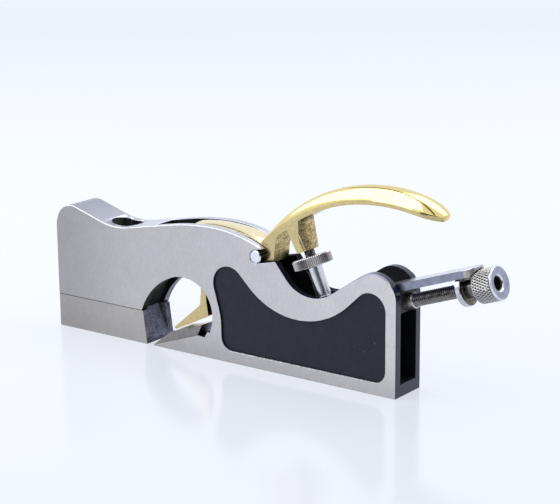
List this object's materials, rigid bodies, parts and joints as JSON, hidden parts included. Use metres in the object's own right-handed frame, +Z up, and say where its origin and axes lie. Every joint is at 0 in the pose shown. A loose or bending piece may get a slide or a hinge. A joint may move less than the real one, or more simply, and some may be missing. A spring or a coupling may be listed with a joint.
{
  "type": "shoulder plane",
  "caption": "Narrow metal hand plane with a full-width bevel-up iron, arched side opening, curved brass palm rest on its lever cap, and knurled wheels that set depth and clamp the iron.",
  "frame": {"origin": "centre of the sole, halfway between toe and heel and between the two sides", "axes": "+X from the toe towards the heel and knob, +Y towards the far side, +Z up, square to the sole"},
  "size_m": [0.2353, 0.019, 0.0882],
  "materials": {
    "ground_iron": "ground satin on the sides and sole, black enamel in the recesses",
    "rough_iron": "dark, as cast",
    "tool_steel": "ground bright",
    "cast_brass": "polished on top, as cast inside the web",
    "plain_steel": "turned",
    "dark_steel": "black oxide",
    "bright_plate": "knurled and nickel plated"
  },
  "bodies": {
    "plane": {"body": "ground_iron", "adjuster_block": "rough_iron", "adjuster_bush": "plain_steel"},
    "toe_block": {"toe": "ground_iron"},
    "toe_lock": {"toe_lock_screw": "dark_steel", "toe_washer": "plain_steel"},
    "mouth_adjuster": {"mouth_screw": "dark_steel"},
    "cutter": {"iron": "tool_steel"},
    "depth_adjuster": {"adjuster_spindle": "plain_steel", "adjuster_knob": "bright_plate"},
    "lever": {"lever_cap": "cast_brass", "lever_pin": "plain_steel"},
    "clamp_foot": {"thumb_foot": "plain_steel"},
    "clamp_screw": {"thumb_stud": "plain_steel", "thumb_wheel": "bright_plate"}
  },
  "joints": [
    {"name": "toe_slide", "type": "slide", "parent": "plane", "child": "toe_block", "axis": [1, 0, 0], "range_m": [-0.0018, 0.0008]},
    {"name": "mouth_turn", "type": "hinge", "parent": "toe_block", "child": "mouth_adjuster", "pos_m": [-0.095, 0, 0.0191], "axis": [1, 0, 0], "range_deg": [-648.01, 288.01]},
    {"name": "toe_lock_turn", "type": "hinge", "parent": "toe_block", "child": "toe_lock", "pos_m": [-0.0598, 0, 0], "axis": [0, 0, 1], "range_deg": [0, 180]},
    {"name": "iron_slide", "type": "slide", "parent": "plane", "child": "cutter", "axis": [0.9455, 0, 0.3256], "range_m": [-0.003, 0.0035]},
    {"name": "depth_turn", "type": "hinge", "parent": "cutter", "child": "depth_adjuster", "pos_m": [0.10512, 0, 0.04392], "axis": [0.9455, 0, 0.3256], "range_deg": [-1080.01, 1260.01]},
    {"name": "lever_rock", "type": "hinge", "parent": "plane", "child": "lever", "pos_m": [0.0223, 0, 0.0507], "axis": [0, 1, 0], "range_deg": [0, 2.7]},
    {"name": "clamp_travel", "type": "slide", "parent": "lever", "child": "clamp_foot", "axis": [0.3827, 0, -0.9239], "range_m": [-0.0012, 0]},
    {"name": "clamp_turn", "type": "hinge", "parent": "clamp_foot", "child": "clamp_screw", "pos_m": [0.0442, 0, 0.0551], "axis": [0.3827, 0, -0.9239], "range_deg": [-432, 0]}
  ],
  "couplings": [
    {"joint": "mouth_turn", "follows": "toe_slide", "rad_per_m": 6283.2},
    {"joint": "depth_turn", "follows": "iron_slide", "rad_per_m": 6283.2},
    {"joint": "clamp_travel", "follows": "clamp_turn", "m_per_rad": 0.00015915},
    {"joint": "lever_rock", "follows": "clamp_turn", "ratio": -0.00625}
  ]
}
